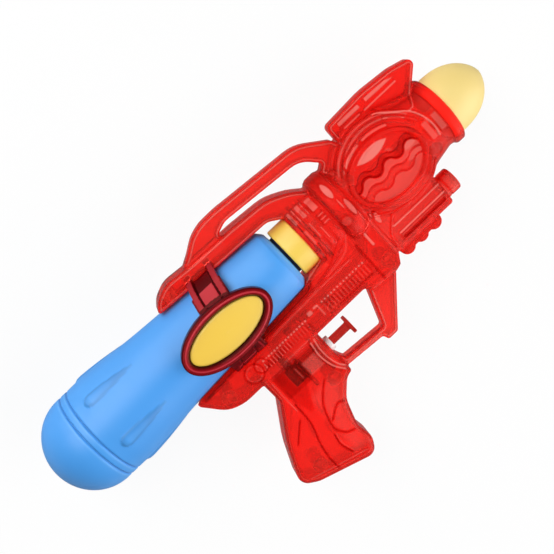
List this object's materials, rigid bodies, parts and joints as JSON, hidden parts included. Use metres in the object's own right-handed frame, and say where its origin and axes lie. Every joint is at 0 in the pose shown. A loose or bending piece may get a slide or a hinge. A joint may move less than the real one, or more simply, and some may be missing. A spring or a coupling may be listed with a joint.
{
  "type": "toy water squirter",
  "caption": "Toy water squirter with see-through moulded halves, a screw-on bottle as tank, a sprung trigger pump, hoses, ball valves and a bullet-shaped nozzle.",
  "frame": {"origin": "under the middle of the overall box, on the ground that the left bezel's rim lies on", "axes": "+X forward along the barrel to the nozzle, +Y up the gun from the grip to the top handle, +Z out of its right side; the gun lies on its left side"},
  "size_m": [0.3264, 0.1684, 0.065],
  "materials": {
    "red_clear": "clear red, polished mould",
    "blue_bottle": "satin, blow moulded",
    "yellow": "satin",
    "pale_yellow": "satin",
    "white": "satin",
    "grey": "satin",
    "rubber": "matt",
    "hose_vinyl": "clear soft vinyl",
    "steel": "zinc plated"
  },
  "bodies": {
    "housing": {"right_shell": "red_clear", "left_shell": "red_clear", "right_bracket": "red_clear", "left_bracket": "red_clear", "right_badge": "yellow", "left_badge": "yellow", "nozzle_cone": "pale_yellow", "tank_cap": "yellow", "dip_tube": "hose_vinyl", "suction_hose": "hose_vinyl", "feed_hose": "hose_vinyl", "delivery_hose": "hose_vinyl", "pump_cylinder": "grey", "pump_gland": "white", "inlet_valve": "white", "outlet_valve": "white", "return_spring": "steel", "screw_1": "steel", "screw_2": "steel", "screw_3": "steel", "screw_4": "steel", "screw_5": "steel", "screw_6": "steel", "screw_7": "steel", "screw_8": "steel"},
    "trigger": {"trigger": "red_clear", "piston_ring": "rubber"},
    "tank_seal": {"tank_washer": "rubber"},
    "tank": {"tank_bottle": "blue_bottle"},
    "inlet_ball": {"inlet_ball": "steel"},
    "outlet_ball": {"outlet_ball": "steel"}
  },
  "joints": [
    {"name": "trigger_pull", "type": "slide", "parent": "housing", "child": "trigger", "axis": [-1, 0, 0], "range_m": [0, 0.01], "stiffness_N_per_m": 400, "springref_m": -0.005, "deforming": ["return_spring"]},
    {"name": "tank_back_off", "type": "slide", "parent": "housing", "child": "tank_seal", "axis": [-1, 0, 0], "range_m": [0, 0.01051]},
    {"name": "tank_unscrew", "type": "hinge", "parent": "tank_seal", "child": "tank", "pos_m": [0.00125, 0.03728, 0.0325], "axis": [-1, 0, 0], "range_deg": [0, 1260]},
    {"name": "inlet_lift", "type": "slide", "parent": "housing", "child": "inlet_ball", "axis": [-1, 0, 0], "range_m": [0, 0.0012]},
    {"name": "outlet_lift", "type": "slide", "parent": "housing", "child": "outlet_ball", "axis": [1, 0, 0], "range_m": [0, 0.0012]}
  ],
  "couplings": [
    {"joint": "tank_back_off", "follows": "tank_unscrew", "m_per_rad": 0.00047746}
  ]
}
